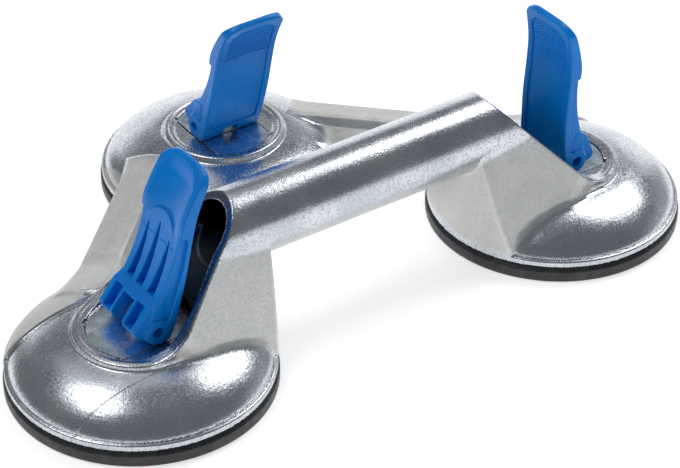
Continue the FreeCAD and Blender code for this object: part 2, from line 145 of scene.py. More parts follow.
def spline(points, steps=8):
    """Catmull-Rom curve through 2-D points."""
    p = np.array(points, float)
    p = np.vstack([2 * p[0] - p[1], p, 2 * p[-1] - p[-2]])
    out = []
    for i in range(1, len(p) - 2):
        for s in range(steps):
            t = s / steps
            out.append(0.5 * ((2 * p[i]) + (-p[i - 1] + p[i + 1]) * t + (2 * p[i - 1] - 5 * p[i] + 4 * p[i + 1] - p[i + 2]) * t * t
                              + (-p[i - 1] + 3 * p[i] - 3 * p[i + 1] + p[i + 2]) * t ** 3))
    out.append(p[-2])
    return [tuple(v) for v in out]


def mesh_of(fn, lo, hi, step, block=8):
    """Surface of fn(x, y, z) = 0 as vertices and quads, evaluated only near the surface."""
    lo = np.array(lo, float)
    nb = np.ceil((np.array(hi, float) - lo) / (step * block)).astype(int)
    n = nb * block + 1
    F = np.full(n, 1.0, np.float32)
    big = step * block
    cx, cy, cz = [lo[k] + big * (np.arange(nb[k]) + 0.5) for k in range(3)]
    X, Y, Z = np.meshgrid(cx, cy, cz, indexing="ij")
    D = fn(X.ravel(), Y.ravel(), Z.ravel()).reshape(nb)
    near = np.abs(D) < big * 0.5 * math.sqrt(3) * 1.35 + 0.5
    sign = np.where(D < 0, -9.0, 9.0).astype(np.float32)
    for i, j, k in np.argwhere(~near):
        F[i * block:(i + 1) * block + 1, j * block:(j + 1) * block + 1, k * block:(k + 1) * block + 1] = sign[i, j, k]
    idx = np.argwhere(near)
    g = np.arange(block + 1)
    gx, gy, gz = [a.ravel() for a in np.meshgrid(g, g, g, indexing="ij")]
    chunk = 700
    for s in range(0, len(idx), chunk):
        part = idx[s:s + chunk]
        ii = (part[:, 0:1] * block + gx).ravel()
        jj = (part[:, 1:2] * block + gy).ravel()
        kk = (part[:, 2:3] * block + gz).ravel()
        F[ii, jj, kk] = fn(lo[0] + ii * step, lo[1] + jj * step, lo[2] + kk * step)
    # surface nets
    S = F < 0
    c = [S[a:n[0] - 1 + a, b:n[1] - 1 + b, d:n[2] - 1 + d] for a in (0, 1) for b in (0, 1) for d in (0, 1)]
    cnt = sum(x.astype(np.int8) for x in c)
    cells = np.argwhere((cnt > 0) & (cnt < 8))
    number = np.full(np.array(n) - 1, -1, np.int64)
    number[tuple(cells.T)] = np.arange(len(cells))
    acc = np.zeros((len(cells), 3))
    wgt = np.zeros(len(cells))
    i, j, k = cells.T
    corner = [(a, b, d) for a in (0, 1) for b in (0, 1) for d in (0, 1)]
    for q0 in range(8):
        for q1 in range(q0 + 1, 8):
            d = np.array(corner[q1]) - np.array(corner[q0])
            if np.abs(d).sum() != 1 or d.min() < 0:
                continue
            a, b = corner[q0], corner[q1]
            f0 = F[i + a[0], j + a[1], k + a[2]]
            f1 = F[i + b[0], j + b[1], k + b[2]]
            m = (f0 < 0) != (f1 < 0)
            t = np.where(m, f0 / np.where(m, f0 - f1, 1), 0)
            pos = np.array(a)[None, :] + t[:, None] * d[None, :]
            acc += np.where(m[:, None], pos, 0)
            wgt += m
    V = lo + (cells + acc / wgt[:, None]) * step
    quads = []
    for ax in range(3):
        o = [slice(1, -1)] * 3
        o[ax] = slice(0, -1)
        A = S[tuple(slice(x.start, x.stop) for x in o)]
        o2 = list(o)
        o2[ax] = slice(1, None)
        B = S[tuple(o2)]
        e = np.argwhere(A != B)
        flip = A[tuple(e.T)]
        off = np.array([1, 1, 1])
        off[ax] = 0
        e = e + off
        u, w = [(1, 2), (2, 0), (0, 1)][ax]
        def at(du, dw):
            r = e.copy()
            r[:, u] -= du
            r[:, w] -= dw
            return number[tuple(r.T)]
        q = np.stack([at(1, 1), at(0, 1), at(0, 0), at(1, 0)], 1)
        q[~flip] = q[~flip][:, ::-1]
        quads.append(q)
    Q = np.vstack(quads)
    # each vertex moved onto the surface
    for _ in range(4):
        f, g = value_and_slope(fn, V)
        V = V - g * np.clip(f, -0.6 * step, 0.6 * step)[:, None]
    return V, Q, value_and_slope(fn, V, 0.12)[1]


def value_and_slope(fn, V, e=0.05):
    x, y, z = V.T
    f = fn(x, y, z)
    g = np.stack([fn(x + e, y, z) - fn(x - e, y, z), fn(x, y + e, z) - fn(x, y - e, z), fn(x, y, z + e) - fn(x, y, z - e)], 1) / (2 * e)
    ln = np.linalg.norm(g, axis=1)
    return f / np.maximum(ln, 0.3), g / np.maximum(ln, 1e-6)[:, None]


# ------------------------------------------------------------------ casting
def dome_curve(off=0.0, steps=20):
    pts = []
    for i in range(steps + 1):
        t = math.pi / 2 * i / steps
        pts.append((30.0 + 27.5 * math.sin(t) ** 1.25, 10.8 + 15.2 * max(math.cos(t), 0.0) ** 1.25))
    if off:
        q = []
        for i, (r, z) in enumerate(pts):
            a, b = pts[max(i - 1, 0)], pts[min(i + 1, steps)]
            n = math.hypot(b[0] - a[0], b[1] - a[1])
            q.append((r + off * (b[1] - a[1]) / n, z - off * (b[0] - a[0]) / n))
        pts = q
    return pts


HEAD = Section(rounded(
    [(-5, PAD_H), (59.3, PAD_H, 0.3), (59.3, 10.75, 0.9), (57.9, 10.95, 0.4)] + dome_curve()[::-1][:-1]
    + [(29.9, 26.0, 1.0), (29.2, 27.0, 0.7), (28.3, 28.75, 1.0), (26.6, 29.0, 0.7), (25.9, 28.35, 0.35), (25.2, 28.55, 0.5), (23.7, 28.4, 0.5),
       (23.3, 27.6, 0.3), (-5, 27.6)]), step=0.2)
CAVITY = Section(rounded(
    [(-5, 5.0), (53.7, 5.0), (53.7, 11.0, 1.0)] + [(r, min(z, 22.5)) for r, z in dome_curve(3.5)[::-1] if 31.0 < r < 53.5]
    + [(29.0, 22.5), (9.0, 22.5, 0.8), (9.0, 17.2, 0.5), (-5, 17.2)]), step=0.3)
ARM = Section(rounded(
    [(39.3, 6.0), (39.8, 21.6, 1.6), (23.0, 25.7, 2.6), (21.6, 25.2, 1.4), (20.2, 20.5, 1.6), (3.6, 20.3, 1.4), (3.0, 6.0)]), step=0.25)
ARM_HOLLOW = Section(rounded(
    [(36.2, 2.0), (36.2, 18.6, 1.5), (23.4, 21.9, 1.5), (20.6, 17.0, 1.0), (6.6, 17.0, 1.2), (6.6, 2.0)]), step=0.3)
ARM_LEN = math.hypot(HEAD_X, 2 * HEAD_Y)
EX, EY = HEAD_X / ARM_LEN, -2 * HEAD_Y / ARM_LEN
NX, NY = -EY, EX
MOUTH_N = math.hypot(1, 1.09)
BACK_N = math.hypot(1, 1.12)
SIDE_N = math.sqrt(1 + 0.115 ** 2 + 0.332 ** 2)


def leg_side(u, v, z):
    return (np.abs(v) - (17.0 + 0.115 * (u + 57.0) + 0.332 * (55.0 - z))) / SIDE_N


def casting(x, y, z):
    ax = np.abs(x)
    u, v = ax - HEAD_X, y + HEAD_Y
    r = np.hypot(u, v)
    rb = np.hypot(x, y - HEAD_Y)
    head = HEAD(r, z)
    headb = HEAD(rb, z)
    side = leg_side(u, v, z)
    tube = np.hypot(v, z - TUBE_Z) - TUBE_R
    # leg
    block = rmax(side, r - 59.3, 1.2)
    t = np.maximum(0, -u - 2)
    collar = r - (29.3 + 0.30 * t + 0.022 * t * t + 2.5 * ramp(-u, -14.0, 2.0) * np.maximum(0, 25.8 - z))
    block = rmax(block, collar, 3.0)
    block = np.maximum(np.maximum(block, z - 68.0), 9.5 - z)
    leg = rmin(block, np.maximum(tube, u - 9), 1.2)
    mouth = rmin((z - (29.6 - 1.09 * u)) / MOUTH_N, z - 28.7, 9.0)
    leg = rmax(leg, mouth, 0.7)
    fillet = 3.2 * np.clip((59.2 - r) / 5.0, 0.02, 1) * np.clip((r - 28.0) / 4.0, 0.12, 1)
    body = rmin(head, leg, fillet)
    body = np.minimum(body, np.maximum(tube, u + 50.0))
    # arms and the flare of each round the outboard side of its head
    a = ax * EX + (y - HEAD_Y) * EY
    d = ax * NX + (y - HEAD_Y) * NY
    arm = np.maximum(np.maximum(ARM(d, z), 27.0 - a), a - (ARM_LEN - 24.0))
    flare = rmax(rmax(head - 1.5, 31.0 - v, 0.8), 4.0 - d, 2.0)
    flare = np.maximum(np.maximum(flare, 31.0 - r), np.maximum(r - 59.2, 8.4 - z))
    arm = rmin(arm, flare, 7.0)
    arm = np.maximum(arm, PAD_H - z + 0.8)
    armfil = 1.0 + 3.0 * ramp(60.0 - rb, 0.0, 12.0)
    body = rmin(body, arm, armfil)
    body = rmin(body, headb, 3.0 * ramp(rb, 31.0, 40.0) + 0.05)
    # hollows
    inner = CAVITY(r, z)
    innerb = CAVITY(rb, z)
    hollow = np.minimum(inner, innerb)
    under = np.maximum(np.maximum(side + 3.9, r - 55.4), np.maximum((z - (5.8 - 1.12 * u)) / BACK_N, z - 44.6))
    under = np.maximum(under, 5.0 - z)
    hollow = np.minimum(hollow, under)
    ah = np.maximum(np.maximum(ARM_HOLLOW(d, z), 60.0 - a), a - (ARM_LEN - 60.0))
    hollow = np.minimum(hollow, ah)
    body = cut(body, hollow, 0.5)
    body = np.maximum(body, 5.1 - np.minimum(r, rb))
    # pocket behind the slanted mouth, and the bore of the handle
    t = np.maximum(0, -u - 7)
    reach = r - (23.5 + 0.28 * t + 0.03 * t * t)
    pocket = rmax(rmax(side + 4.1, ((11.8 - 1.12 * u) - z) / BACK_N, 2.0), np.maximum(27.6 - z, u - 3.0), 0.5)
    pocket = rmax(pocket, reach, 1.5)
    pocket = np.maximum(pocket, z - 66.0)
    bore = np.hypot(v, z - TUBE_Z) - BORE_R
    pocket = rmin(pocket, np.maximum(bore, u + 10.0), 0.8)
    body = cut(body, pocket, 0.9)
    body = cut(body, np.maximum(r - 23.2, 27.6 - z), 0.4)
    # recess of the wear plate, and a small notch at each of its corners
    slot = np.maximum(np.maximum(np.abs(v) - 15.65, r - 23.25), FLOOR_Z - z)
    slotb = np.maximum(np.maximum(np.abs(x) - 15.65, rb - 23.25), FLOOR_Z - z)
    body = np.maximum(body, -np.minimum(slot, slotb))
    notch = np.maximum(np.maximum(np.abs(np.abs(v) - 15.4) - 0.9, np.abs(r - 23.6) - 0.9), 27.0 - z)
    notchb = np.maximum(np.maximum(np.abs(np.abs(x) - 15.4) - 0.9, np.abs(rb - 23.6) - 0.9), 27.0 - z)
    body = np.maximum(body, -np.minimum(notch, notchb))
    return np.maximum(body, PAD_H - z)


def casting_finish(P, N):
    """For each vertex: how matt the surface is (0 polished, 1 as cast), the ground rim of a mouth, and where the
    pocket and bore are darkened with painted shade.
    """
    x, y, z = P.T
    ax = np.abs(x)
    u, v = ax - HEAD_X, y + HEAD_Y
    r, rb = np.hypot(u, v), np.hypot(x, y - HEAD_Y)
    side = leg_side(u, v, z)
    a = ax * EX + (y - HEAD_Y) * EY
    d = ax * NX + (y - HEAD_Y) * NY
    head, headb = HEAD(r, z), HEAD(rb, z)
    leg = ramp(head, 0.45, 1.3) * np.where(side > -1.0, 0.72, 1.0) * (1 - ramp(z, 45.5, 60.0) * ramp(np.hypot(v, z - TUBE_Z) - TUBE_R, 1.2, -0.4)) * (u < 5)
    tube_low = (u < -20.0) * (np.hypot(v, z - TUBE_Z) < TUBE_R + 1.5) * ramp(z, 57.5, 51.5) * 0.85
    leg = leg * ramp(z, 60.5, 55.5)
    leg = np.where((u < -60.5), 0.0, leg)
    arm = ramp(np.minimum(head, headb), 0.4, 1.6) * ((z < 27) & (rb > 33) & (v > 29) | (r > 62) & (rb > 62) & (z < 40))
    matt = np.clip(np.maximum(np.maximum(leg, tube_low), arm), 0, 1)
    mouth = (z - (29.6 - 1.09 * u)) / MOUTH_N
    rim = ramp(mouth, -0.45, -0.12) * ramp(z, 29.5, 33.0) * (u < 0)
    outside = (N[:, 1] * np.sign(v) > 0.3) | (z > 61.9) & (np.hypot(v, z - TUBE_Z) > TUBE_R - 1.2)
    matt = matt * (1 - ramp(mouth, -0.7, -0.2) * (u < 12) * (z > 28.4) * (z < 62))
    # pocket behind the mouth and bore of the handle: these hollows get painted shade in the colour
    pocket = ((side < -3.3) & (mouth < -0.7) & (z > 27.8) & (u < 3) & (r < 56.5) & ~outside).astype(float)
    bore = (np.hypot(v, z - TUBE_Z) < BORE_R + 0.9) & (mouth < -0.7)
    return matt, rim, np.maximum(pocket, bore)


# ------------------------------------------------------------------ lever: t outboard, v across, s up, pin axis at the origin
FRONT = [(-7.2, -3.4), (-7.6, 3), (-7.3, 12), (-6.5, 25), (-5.1, 36), (-3.6, 48), (-3.1, 57), (-3.7, 66), (-5.0, 74.3)]
BACK = [(-1.9, 75.4), (0.2, 70.5), (1.9, 63.5), (3.1, 56), (3.4, 50), (2.2, 42), (1.8, 34), (2.2, 25), (3.4, 17), (4.8, 12.0)]
_f = spline(FRONT, 10)
BLADE = Section(rounded(_f + [(-4.9, 75.9, 0.8), (-2.9, 76.6, 0.9)] + spline(BACK, 8) + [(4.2, 4.0, 1.0), (4.0, 0.0), (1.0, -5.5), (-4.8, -4.5, 1.0)]), step=0.12, pad=8)
PLAN = Section(rounded([(-16.5, -8.0), (-16.0, 66.2), (-15.9, 70.2, 5.0), (-13.4, 74.0, 7.0), (-8.0, 76.4, 10.0), (0.0, 77.2, 40.0), (8.0, 76.4, 10.0),
                        (13.4, 74.0, 7.0), (15.9, 70.2, 5.0), (16.0, 66.2), (16.5, -8.0)]), step=0.15, pad=8)
WAIST = Section(rounded([(-3.4, 5.5, 1.5), (-3.6, 20.0), (-3.3, 32.0, 6.0), (-1.6, 45.0, 3.0), (14, 47.0), (14, -14.0), (7.0, -14.0), (7.0, 5.0, 2.0)]), step=0.2, pad=8)
HEEL = Section(rounded([(1.5, 14.5, 1.0), (6.2, 12.4, 0.7), (7.3, 11.2, 0.6), (11.6, -0.6, 2.0), (9.9, -3.0, 1.8), (3.4, -5.0, 1.0), (-0.5, -5.6, 1.0), (-4.0, 0)]), step=0.12, pad=8)
PANEL = Section(rounded([(-12.7, 3.2, 1.4), (-12.4, 66.0, 6.5), (-7.0, 71.6, 8.0), (0.0, 72.4, 30.0), (7.0, 71.6, 8.0), (12.4, 66.0, 6.5), (12.7, 3.2, 1.4)]), step=0.15, pad=8)
SPOON = Section(rounded([(-12.4, 38.0, 1.0), (-12.9, 66.0, 6.0), (-7.5, 73.0, 8.0), (0.0, 74.2, 30.0), (7.5, 73.0, 8.0), (12.9, 66.0, 6.0), (12.4, 38.0, 1.0)]), step=0.15, pad=8)
FT, FS = np.array(_f).T
_b = np.array(spline(BACK[::-1], 10))


def lever(t, v, s):
    av = np.abs(v)
    s = s + 1.1 * np.clip((s - 30.0) / 46.0, 0, 1)
    b = rmax(BLADE(t, s), PLAN(v, s), 0.9)
    b = cut(b, np.maximum(WAIST(t, s), 14.5 - av), 0.5)
    heel = rmax(HEEL(t, s), av - 14.75, 0.6)
    b = rmin(b, heel, 1.2)
    boss = rmax(np.hypot(t, s) - 5.8, av - 16.45, 0.8)
    b = np.maximum(rmin(b, boss, 0.9), av - 16.5)
    # front: shallow panel in a raised frame, with grip ridges along the arched top
    front = np.interp(s, FS, FT)
    se = s + 0.012 * v * v
    ridge = 0.5 - 0.5 * np.cos(2 * math.pi * (se - 50.0) / 1.78)
    ridge = 0.55 * ridge ** 0.7 * ((se > 50.0) & (se < 50.0 + 11 * 1.78)) * ramp(np.abs(v), 11.4, 10.6)
    floor = front + 0.75 - ridge
    b = rmax(b, -np.maximum(PANEL(v, s), (t - floor) * 0.85), 0.25)
    # back: hollowed thumb rest with an arched ledge, and three tapering channels
    back = np.interp(s, _b[:, 1], _b[:, 0])
    bowl = 2.6 * np.clip(1 - (v / 12.6) ** 2, 0, 1) * ramp(s, 36.0, 52.0) * ramp(s, 76.0, 66.0)
    arch = 10.6 - np.hypot(np.maximum(np.abs(v + 0.3), 0), np.maximum(s - 40.5, 0) * 1.02)
    bowl = bowl * (1 - 0.55 * ramp(arch, -0.35, 0.35))
    b = rmax(b, -np.maximum(SPOON(v, s), ((back - bowl) - t) * 0.8), 0.4)
    for y0, y1, z1 in ((-10.9, -6.4, 41.0), (-3.4, 1.4, 44.5), (5.6, 10.4, 40.0)):
        ym, hw = (y0 + y1) / 2, (y1 - y0) / 2
        w = np.interp(s, [14.3, z1 - 8, z1], [hw, hw * 0.5, 0.25])
        ch = np.maximum(np.maximum(np.abs(v - ym) - w, 14.3 - s), np.maximum(s - z1, (-3.9 + 2.2 * ramp(s, z1 - 16, z1 + 1)) - t))
        b = cut(b, ch, 0.45)
    # heel: two windows and the slot for the stud
    for v0 in (-8.75, 8.75):
        win = np.maximum(np.abs(v - v0) - 2.75, np.maximum(4.4 + 0.12 * (9 - s) - t, np.maximum(s - (8.6 + 0.25 * t), -0.9 + 0.0 * t - s)))
        b = cut(b, win, 0.5)
    slot = np.maximum(av - 4.0, np.maximum(-5.5 - t, np.maximum(s - 6.2, -30 - s)))
    b = cut(b, slot, 0.3)
    slot = np.maximum(av - 4.0, np.maximum(3.6 - t, np.maximum(s - 9.4, -30 - s)))
    b = cut(b, slot, 0.4)
    notch = np.maximum(av - 4.0, np.maximum(t + 5.3, s - 0.8))
    b = cut(b, notch, 0.3)
    b = cut(b, np.hypot(t, s) - 2.56, 0.3)
    return b


# ------------------------------------------------------------------ objects
def new_object(name, V, faces, normals=None, mats=(), attrs=None):
    """V in millimetres in the object's own frame."""
    me = bpy.data.meshes.new(name)
    V = np.asarray(V, float) * 0.001
    F = np.asarray(faces)
    me.vertices.add(len(V))
    me.vertices.foreach_set("co", V.astype(np.float32).ravel())
    n, k = F.shape
    me.loops.add(n * k)
    me.loops.foreach_set("vertex_index", F.astype(np.int32).ravel())
    me.polygons.add(n)
    me.polygons.foreach_set("loop_start", (np.arange(n) * k).astype(np.int32))
    me.polygons.foreach_set("loop_total", np.full(n, k, np.int32))
    me.update(calc_edges=True)
    me.polygons.foreach_set("use_smooth", np.ones(n, bool))
    for key, val in (attrs or {}).items():
        at = me.attributes.new(key, "FLOAT", "POINT")
        at.data.foreach_set("value", np.asarray(val, np.float32))
    if normals is not None:
        me.normals_split_custom_set_from_vertices([tuple(q) for q in normals])
    me.validate()
    ob = bpy.data.objects.new(name, me)
    bpy.context.scene.collection.objects.link(ob)
    for m in mats:
        me.materials.append(m)
    return ob


def keep_large(V, Q, N):
    """Drops specks and the vertices nothing uses."""
    parent = np.arange(len(V))
    # connected pieces by repeated label spreading along the faces
    lab = np.arange(len(V))
    for _ in range(400):
        m = lab[Q].min(1)
        new = lab.copy()
        for c in range(Q.shape[1]):
            np.minimum.at(new, Q[:, c], m)
        new = new[new]
        if (new == lab).all():
            break
        lab = new
    ids, cnt = np.unique(lab[Q[:, 0]], return_counts=True)
    big = ids[cnt > 0.02 * cnt.max()]
    keep = np.isin(lab[Q[:, 0]], big)
    Q = Q[keep]
    used = np.unique(Q)
    remap = np.full(len(V), -1)
    remap[used] = np.arange(len(used))
    return V[used], remap[Q], N[used]


def lathe(name, profile, seg=160, mats=(), attr=None):
    """Closed solid of revolution about z from (r, z) points that start and end on the axis."""
    V, F = [], []
    ring_at = []
    for r, z in profile:
        if r < 1e-6:
            ring_at.append((len(V), 1))
            V.append((0, 0, z))
        else:
            ring_at.append((len(V), seg))
            V += [(r * math.cos(2 * math.pi * k / seg), r * math.sin(2 * math.pi * k / seg), z) for k in range(seg)]
    for (i, n), (j, m) in zip(ring_at, ring_at[1:]):
        for k in range(seg):
            a, b = (k, (k + 1) % seg)
            if n == 1 and m == 1:
                continue
            if n == 1:
                F.append((i, j + b, j + a))
            elif m == 1:
                F.append((i + a, i + b, j))
            else:
                F.append((i + a, i + b, j + b, j + a))
    me = bpy.data.meshes.new(name)
    me.from_pydata([(x * 0.001, y * 0.001, z * 0.001) for x, y, z in V], [], [f[::-1] for f in F])
    me.update()
    me.polygons.foreach_set("use_smooth", np.ones(len(me.polygons), bool))
    for m in mats:
        me.materials.append(m)
    ob = bpy.data.objects.new(name, me)
    bpy.context.scene.collection.objects.link(ob)
    return ob


def sweep(name, path, r, sides=14, mats=()):
    """Round wire along a path of points, with closed ends."""
    P = np.array(path, float)
    T = np.gradient(P, axis=0)
    T /= np.linalg.norm(T, axis=1)[:, None]
    side = np.cross(T, [0, 0, 1.0])
    side /= np.linalg.norm(side, axis=1)[:, None]
    up = np.cross(side, T)
    ang = 2 * np.pi * np.arange(sides) / sides
    V = (P[:, None, :] + r * (np.cos(ang)[None, :, None] * side[:, None, :] + np.sin(ang)[None, :, None] * up[:, None, :])).reshape(-1, 3)
    F = []
    for i in range(len(P) - 1):
        for k in range(sides):
            a, b = i * sides + k, i * sides + (k + 1) % sides
            F.append((a, a + sides, b + sides, b))
    F.append(tuple(range(sides)))
    F.append(tuple((len(P) - 1) * sides + k for k in range(sides))[::-1])
    me = bpy.data.meshes.new(name)
    me.from_pydata([tuple(v) for v in V * 0.001], [], F)
    me.update()
    me.polygons.foreach_set("use_smooth", np.ones(len(me.polygons), bool))
    for m in mats:
        me.materials.append(m)
    ob = bpy.data.objects.new(name, me)
    bpy.context.scene.collection.objects.link(ob)
    return ob


# ------------------------------------------------------------------ materials
class Nodes:
    """Short-hand for building a node tree."""

    def __init__(self, name):
        self.mat = bpy.data.materials.new(name)
        self.mat.use_nodes = True
        self.t = self.mat.node_tree
        self.t.nodes.clear()
        self.out = self.t.nodes.new("ShaderNodeOutputMaterial")
        self.bsdf = self.t.nodes.new("ShaderNodeBsdfPrincipled")
        self.t.links.new(self.bsdf.outputs[0], self.out.inputs[0])
        self.co = self.t.nodes.new("ShaderNodeTexCoord").outputs["Object"]

    def set(self, **kw):
        for k, v in kw.items():
            self.bsdf.inputs[k.replace("_", " ")].default_value = v

    def link(self, a, b):
        self.t.links.new(a, b)

    def feed(self, sock, v):
        if hasattr(v, "is_output") or hasattr(v, "links"):
            self.t.links.new(v, sock)
        else:
            sock.default_value = v

    def noise(self, scale, detail=3.0, rough=0.55, dist=0.0, co=None, w=None):
        n = self.t.nodes.new("ShaderNodeTexNoise")
        n.inputs["Scale"].default_value = scale
        n.inputs["Detail"].default_value = detail
        n.inputs["Roughness"].default_value = rough
        n.inputs["Distortion"].default_value = dist
        self.t.links.new(co if co is not None else self.co, n.inputs["Vector"])
        return n.outputs[0]

    def voronoi(self, scale, feature="F1", co=None, rand=1.0):
        n = self.t.nodes.new("ShaderNodeTexVoronoi")
        n.feature = feature
        n.inputs["Scale"].default_value = scale
        n.inputs["Randomness"].default_value = rand
        self.t.links.new(co if co is not None else self.co, n.inputs["Vector"])
        return n.outputs["Distance"]

    def map(self, v, a, b, c=0.0, d=1.0, smooth=True):
        n = self.t.nodes.new("ShaderNodeMapRange")
        n.interpolation_type = "SMOOTHSTEP" if smooth else "LINEAR"
        self.t.links.new(v, n.inputs["Value"])
        for key, x in (("From Min", a), ("From Max", b), ("To Min", c), ("To Max", d)):
            self.feed(n.inputs[key], x)
        return n.outputs[0]

    def math(self, op, a, b=0.0, c=0.0):
        n = self.t.nodes.new("ShaderNodeMath")
        n.operation = op
        for s, v in zip(n.inputs, (a, b, c)):
            self.feed(s, v)
        return n.outputs[0]

    def mix(self, f, a, b):
        n = self.t.nodes.new("ShaderNodeMix")
        n.data_type = "RGBA"
        self.feed(n.inputs[0], f)
        for s, v in ((n.inputs[6], a), (n.inputs[7], b)):
            if isinstance(v, (tuple, list)):
                s.default_value = (*v[:3], 1.0)
            else:
                self.t.links.new(v, s)
        return n.outputs[2]

    def attr(self, name):
        n = self.t.nodes.new("ShaderNodeAttribute")
        n.attribute_name = name
        return n.outputs["Fac"]

    def xyz(self, co=None):
        n = self.t.nodes.new("ShaderNodeSeparateXYZ")
        self.t.links.new(co if co is not None else self.co, n.inputs[0])
        return n.outputs

    def scaled(self, x, y, z):
        n = self.t.nodes.new("ShaderNodeMapping")
        n.inputs["Scale"].default_value = (x, y, z)
        self.t.links.new(self.co, n.inputs["Vector"])
        return n.outputs[0]

    def bump(self, height, dist, strength=1.0, normal=None):
        n = self.t.nodes.new("ShaderNodeBump")
        self.feed(n.inputs["Strength"], strength)
        n.inputs["Distance"].default_value = dist
        self.t.links.new(height, n.inputs["Height"])
        if normal is not None:
            self.t.links.new(normal, n.inputs["Normal"])
        return n.outputs[0]

    def edge_wear_and_glint(self, lo, hi):
        """Bright along raised edges: painted highlight, and on the casting also tumbling wear."""
        g = self.t.nodes.new("ShaderNodeNewGeometry")
        return self.map(g.outputs["Pointiness"], lo, hi)

    def done(self, color=None, rough=None, normal=None, metal=None):
        if color is not None:
            self.link(color, self.bsdf.inputs["Base Color"])
        if rough is not None:
            self.link(rough, self.bsdf.inputs["Roughness"])
        if metal is not None:
            self.link(metal, self.bsdf.inputs["Metallic"])
        if normal is not None:
            self.link(normal, self.bsdf.inputs["Normal"])
        return self.mat


def cast_aluminium():
    n = Nodes("cast_aluminium")
    n.set(Metallic=1.0)
    matt, rim, dark = n.attr("matt"), n.attr("rim"), n.attr("hollow")
    fine = n.noise(1500, 3.0, 0.6)
    grain = n.noise(620, 4.0, 0.68)
    cloud = n.noise(38, 4.0, 0.6)
    patch = n.noise(95, 3.0, 0.55, 0.4)
    specks = n.map(n.noise(880, 3.0, 0.62), 0.44, 0.66)
    mottled = n.math("MULTIPLY", specks, n.map(cloud, 0.30, 0.60, 0.45, 1.0))
    polished = n.mix(n.map(cloud, 0.35, 0.68), (0.52, 0.545, 0.59), (0.68, 0.70, 0.73))
    polished = n.mix(n.math("MULTIPLY", mottled, 0.48), polished, (0.22, 0.25, 0.30))
    raw = n.mix(n.map(patch, 0.30, 0.72), (0.60, 0.60, 0.58), (0.74, 0.735, 0.71))
    raw = n.mix(n.math("MULTIPLY", n.map(n.noise(900, 2.0, 0.5), 0.58, 0.72), 0.45), raw, (0.36, 0.36, 0.36))
    col = n.mix(matt, polished, raw)
    col = n.mix(rim, col, (0.22, 0.25, 0.31))
    # painted shade: the pocket and bore are darkened to near black
    col = n.mix(dark, col, (0.10, 0.11, 0.125))
    # raised edges painted lighter: partly tumbling wear, partly painted highlight
    wear_and_glint = n.math("MULTIPLY", n.edge_wear_and_glint(0.53, 0.60), n.math("SUBTRACT", 1.0, dark))
    col = n.mix(n.math("MULTIPLY", wear_and_glint, 0.5), col, (0.88, 0.88, 0.90))
    r_pol = n.map(specks, 0.0, 1.0, 0.19, 0.33)
    r_raw = n.map(patch, 0.3, 0.7, 0.50, 0.62)
    rough = n.math("ADD", n.math("MULTIPLY", r_pol, n.math("SUBTRACT", 1.0, matt)), n.math("MULTIPLY", r_raw, matt))
    height = n.math("ADD", n.math("MULTIPLY", grain, 1.0), n.math("MULTIPLY", fine, 0.35))
    # parting line: a fine raised line tangent to the collar on the outboard half of the two handle heads
    x, y, z = n.xyz()
    off = n.math("ABSOLUTE", n.math("SUBTRACT", n.math("ABSOLUTE", n.math("ADD", y, 0.0555)), 0.0296))
    line = n.math("MULTIPLY", n.map(off, 0.00012, 0.00042, 1.0, 0.0), n.map(n.math("ABSOLUTE", x), 0.114, 0.118))
    line = n.math("MULTIPLY", line, n.map(z, 0.0275, 0.0262))
    n1 = n.bump(height, 0.00035, n.map(cloud, 0.35, 0.62, 0.16, 0.40))
    n2 = n.bump(line, 0.00025, 0.8, n1)
    col = n.mix(n.math("MULTIPLY", line, 0.35), col, (0.30, 0.32, 0.35))
    return n.done(col, rough, n2)


def blue_plastic():
    n = Nodes("blue_plastic")
    n.set(IOR=1.45, Coat_Weight=0.03, Coat_Roughness=0.15)
    n.bsdf.inputs["Specular IOR Level"].default_value = 0.25
    cloud = n.noise(28, 3.0, 0.5)
    col = n.mix(n.map(cloud, 0.3, 0.7), (0.000, 0.225, 0.760), (0.000, 0.265, 0.860))
    # raised edges painted a brighter blue: painted sheen
    col = n.mix(n.math("MULTIPLY", n.edge_wear_and_glint(0.52, 0.62), 0.10), col, (0.00, 0.36, 0.95))
    fine = n.noise(2600, 2.0, 0.5)
    rough = n.map(n.noise(260, 3.0, 0.6), 0.3, 0.7, 0.27, 0.36)
    return n.done(col, rough, n.bump(fine, 0.00008, 0.25))


def black_rubber():
    n = Nodes("black_rubber")
    n.set(IOR=1.52)
    n.bsdf.inputs["Specular IOR Level"].default_value = 0.45
    dust = n.noise(160, 4.0, 0.6)
    col = n.mix(n.map(dust, 0.42, 0.72), (0.024, 0.024, 0.027), (0.052, 0.053, 0.058))
    rough = n.map(n.noise(420, 3.0, 0.6), 0.3, 0.7, 0.36, 0.50)
    ring = n.noise(1900, 2.0, 0.5)
    return n.done(col, rough, n.bump(ring, 0.00010, 0.3))


def plated(name, dark, light, lo, hi, streak=False, bumpy=0.00005):
    n = Nodes(name)
    n.set(Metallic=1.0)
    cloud = n.noise(60, 4.0, 0.6)
    col = n.mix(n.map(cloud, 0.35, 0.68), dark, light)
    if streak:
        brushed = n.noise(420, 4.0, 0.6, co=n.scaled(1.0, 14.0, 14.0))
        col = n.mix(n.math("MULTIPLY", n.map(brushed, 0.45, 0.7), 0.35), col, tuple(0.6 * q for q in dark))
        h = brushed
    else:
        h = n.noise(1500, 3.0, 0.6)
    rough = n.map(n.noise(200, 3.0, 0.6), 0.3, 0.7, lo, hi)
    return n.done(col, rough, n.bump(h, bumpy, 0.35))


def floor_material():
    n = Nodes("studio_floor")
    n.set(Roughness=0.85)
    n.bsdf.inputs["Specular IOR Level"].default_value = 0.1
    col = n.mix(n.noise(3.0, 2.0, 0.5), (0.90, 0.90, 0.90), (0.92, 0.92, 0.92))
    n.bsdf.inputs["Emission Color"].default_value = (1.0, 1.0, 1.0, 1.0)
    n.bsdf.inputs["Emission Strength"].default_value = 0.62
    return n.done(col)


